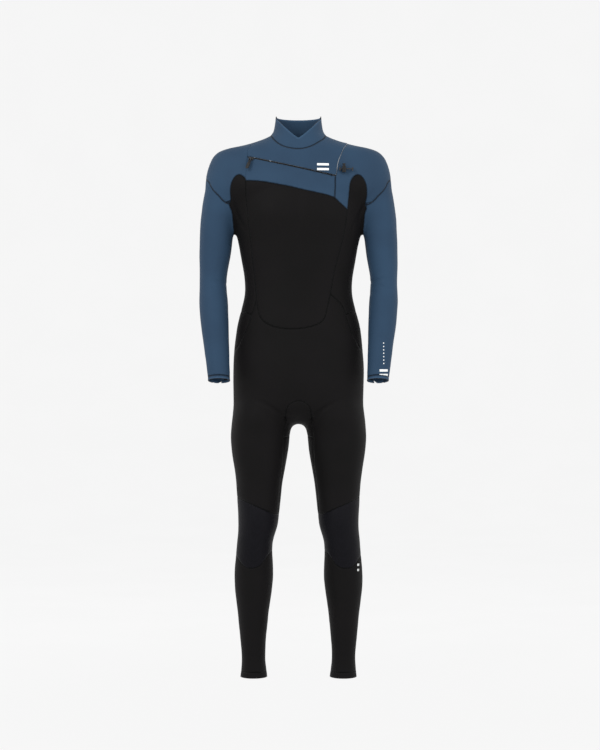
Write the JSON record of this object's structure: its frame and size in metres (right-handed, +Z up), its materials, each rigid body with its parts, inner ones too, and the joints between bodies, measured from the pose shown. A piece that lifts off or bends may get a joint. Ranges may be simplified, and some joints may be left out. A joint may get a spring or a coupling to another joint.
{
  "type": "full wetsuit",
  "caption": "Full-length neoprene wetsuit with long sleeves, a chest zip, a hinged entry flap with collar, knee pads and a neck draw cord.",
  "frame": {"origin": "on the centre plane at the base of the collar, between the shoulders that carry the suit", "axes": "+Z up from the ankles to the collar, -Y the wearer's front, +X the wearer's left"},
  "size_m": [0.532, 0.24, 1.5],
  "materials": {
    "blue_neoprene": "fine nylon jersey, matte",
    "black_neoprene": "fine nylon jersey, matte",
    "knee_neoprene": "textured abrasion fabric, satin",
    "zip_tape": "woven tape",
    "black_plastic": "moulded, satin",
    "spring_steel": "drawn wire"
  },
  "bodies": {
    "suit": {"zip_band": "blue_neoprene", "shoulder_right": "blue_neoprene", "shoulder_left": "blue_neoprene", "upper_back": "blue_neoprene", "sleeve_right": "blue_neoprene", "sleeve_left": "blue_neoprene", "wrist_hem_right": "blue_neoprene", "wrist_hem_left": "blue_neoprene", "chest_panel": "black_neoprene", "lower_back": "black_neoprene", "side_panel_right": "black_neoprene", "side_panel_left": "black_neoprene", "hip_front": "black_neoprene", "seat_panel": "black_neoprene", "leg_back_right": "black_neoprene", "leg_back_left": "black_neoprene", "crotch_gusset": "black_neoprene", "inner_leg_right": "black_neoprene", "inner_leg_left": "black_neoprene", "knee_pad_right": "knee_neoprene", "knee_pad_left": "knee_neoprene", "shin_panel_right": "black_neoprene", "shin_panel_left": "black_neoprene", "ankle_hem_right": "black_neoprene", "ankle_hem_left": "black_neoprene", "neck_barrier": "black_neoprene", "zip_tape_lower": "zip_tape", "zip_teeth_lower": "black_plastic", "zip_top_stop": "black_plastic", "zip_box": "black_plastic", "drawcord": "zip_tape", "cord_anchor_inner": "zip_tape", "cord_anchor_outer": "zip_tape"},
    "entry_flap": {"flap_panel": "blue_neoprene", "collar": "blue_neoprene", "zip_tape_upper": "zip_tape", "zip_teeth_upper": "black_plastic", "zip_pin": "black_plastic"},
    "slider": {"zip_slider": "black_plastic"},
    "puller": {"pull_link": "black_plastic", "pull_tab": "black_plastic"},
    "lock": {"cord_lock": "black_plastic", "lock_spring": "spring_steel"},
    "button": {"lock_button": "black_plastic"}
  },
  "joints": [
    {"name": "flap_open", "type": "hinge", "parent": "suit", "child": "entry_flap", "pos_m": [-0.137, -0.06846, 0.005], "axis": [-0.4744, -0.8803, 0], "range_deg": [0, 95]},
    {"name": "zip_travel", "type": "hinge", "parent": "suit", "child": "slider", "pos_m": [0.03771, 0.51901, -0.09665], "axis": [0.2196, 0, 0.9756], "range_deg": [0, 19.8]},
    {"name": "pull_swing", "type": "hinge", "parent": "slider", "child": "puller", "pos_m": [-0.12575, -0.0759, -0.06293], "axis": [-0.9393, 0.2701, 0.2115], "range_deg": [0, 135]},
    {"name": "lock_slide", "type": "slide", "parent": "suit", "child": "lock", "axis": [1, 0, 0], "range_m": [-0.0035, 0.0145]},
    {"name": "button_press", "type": "slide", "parent": "lock", "child": "button", "axis": [0, 0, -1], "range_m": [0, 0.0025], "stiffness_N_per_m": 300, "springref_m": -0.0015, "deforming": ["lock_spring"]}
  ]
}
